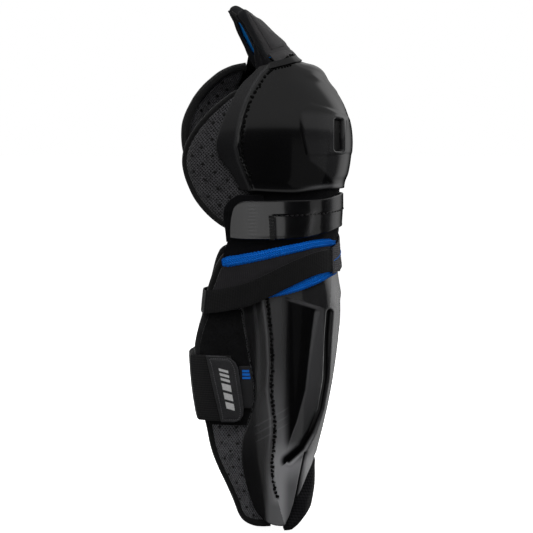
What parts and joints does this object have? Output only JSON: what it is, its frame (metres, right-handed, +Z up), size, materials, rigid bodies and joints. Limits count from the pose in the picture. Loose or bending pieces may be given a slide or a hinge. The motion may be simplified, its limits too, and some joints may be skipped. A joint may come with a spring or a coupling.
{
  "type": "hockey shin guard",
  "caption": "Shin guard with a domed knee cap, floating band, shin shell, foam liners, padded wings, thigh flap and two wrap straps.",
  "frame": {"origin": "on the leg's axis, level with the lowest edge of the shin shell", "axes": "+X out of the front of the shin, +Y towards the wearer's left, +Z up the leg to the thigh"},
  "size_m": [0.1673, 0.1433, 0.4974],
  "materials": {
    "gloss_shell": "high-gloss black moulded polyethylene",
    "band_shell": "gloss black flexible moulded plastic",
    "foam_liner": "brushed knit over foam",
    "spacer_mesh": "dark grey spacer mesh with raised black dots over foam",
    "binding": "folded woven binding tape, black",
    "loop_fabric": "brushed loop pile, black",
    "hook_tape": "moulded hook tape, black",
    "stretch_knit": "charcoal stretch knit",
    "blue_binding": "bright blue knitted binding with a sewn row",
    "blue_lining": "blue knit lining",
    "webbing": "ribbed elastic webbing, black",
    "wide_elastic": "wide knitted elastic, black",
    "anchor_fabric": "woven patch with box stitching",
    "flap_nylon": "coated grey nylon over a stiff plate",
    "tab_plastic": "soft moulded tab, dark grey",
    "label_weave": "woven label, dark grey",
    "black_thread": "heavy bonded thread, black"
  },
  "bodies": {
    "shin": {"shin_shell": "gloss_shell", "shin_liner_center": "foam_liner", "shin_liner_right": "foam_liner", "shin_liner_left": "foam_liner", "right_calf_wing": "spacer_mesh", "right_calf_wing_binding": "binding", "left_calf_wing": "spacer_mesh", "left_calf_wing_binding": "binding", "loop_panel": "loop_fabric", "left_loop_patch": "loop_fabric", "wrap_panel": "stretch_knit", "wrap_panel_upper_binding": "blue_binding", "wrap_panel_lower_binding": "blue_binding", "strap_anchor_patch": "anchor_fabric", "upper_strap": "webbing", "lower_strap": "wide_elastic", "lower_strap_anchor": "anchor_fabric", "woven_label": "label_weave", "lower_gaiter": "stretch_knit", "shin_stitching": "black_thread", "instep_pad": "foam_liner", "instep_pad_face": "stretch_knit"},
    "band": {"knee_band_shell": "band_shell", "knee_band_pad": "foam_liner", "upper_gaiter": "stretch_knit", "band_stitching": "black_thread"},
    "knee": {"knee_cap_shell": "gloss_shell", "knee_liner": "foam_liner", "patella_pad": "foam_liner", "flap_seam_strip": "binding", "cap_stitching": "black_thread"},
    "right_wing": {"right_knee_wing": "spacer_mesh", "right_knee_wing_binding": "binding"},
    "left_wing": {"left_knee_wing": "spacer_mesh", "left_knee_wing_binding": "binding"},
    "thigh_flap": {"flap_plate": "flap_nylon", "flap_pad": "foam_liner", "flap_lining": "blue_lining", "flap_binding": "binding"},
    "upper_tab": {"upper_tab_webbing": "webbing", "upper_tab_hook": "hook_tape"},
    "lower_tab": {"lower_tab_elastic": "wide_elastic", "lower_tab_plate": "tab_plastic", "lower_tab_hook": "hook_tape"}
  },
  "joints": [
    {"name": "band_flex", "type": "hinge", "parent": "shin", "child": "band", "pos_m": [-0.01, 0, 0.268], "axis": [0, -1, 0], "range_deg": [-3, 12]},
    {"name": "knee_flex", "type": "hinge", "parent": "band", "child": "knee", "pos_m": [0, 0, 0.32], "axis": [0, -1, 0], "range_deg": [-2, 12]},
    {"name": "right_wing_flex", "type": "hinge", "parent": "knee", "child": "right_wing", "pos_m": [-0.052, -0.062, 0.35], "axis": [0, 0, 1], "range_deg": [0, 35]},
    {"name": "left_wing_flex", "type": "hinge", "parent": "knee", "child": "left_wing", "pos_m": [-0.052, 0.062, 0.35], "axis": [0, 0, -1], "range_deg": [0, 35]},
    {"name": "flap_fold", "type": "hinge", "parent": "knee", "child": "thigh_flap", "pos_m": [0.016, 0, 0.4555], "axis": [0, -1, 0], "range_deg": [-35, 15]},
    {"name": "upper_tab_peel", "type": "hinge", "parent": "shin", "child": "upper_tab", "pos_m": [-0.0509, 0.0498, 0.2197], "axis": [0.0929, -0.0169, 0.9955], "range_deg": [0, 75]},
    {"name": "lower_tab_peel", "type": "hinge", "parent": "shin", "child": "lower_tab", "pos_m": [-0.069, -0.0391, 0.14], "axis": [0.1239, 0.0685, -0.9899], "range_deg": [0, 90]}
  ]
}
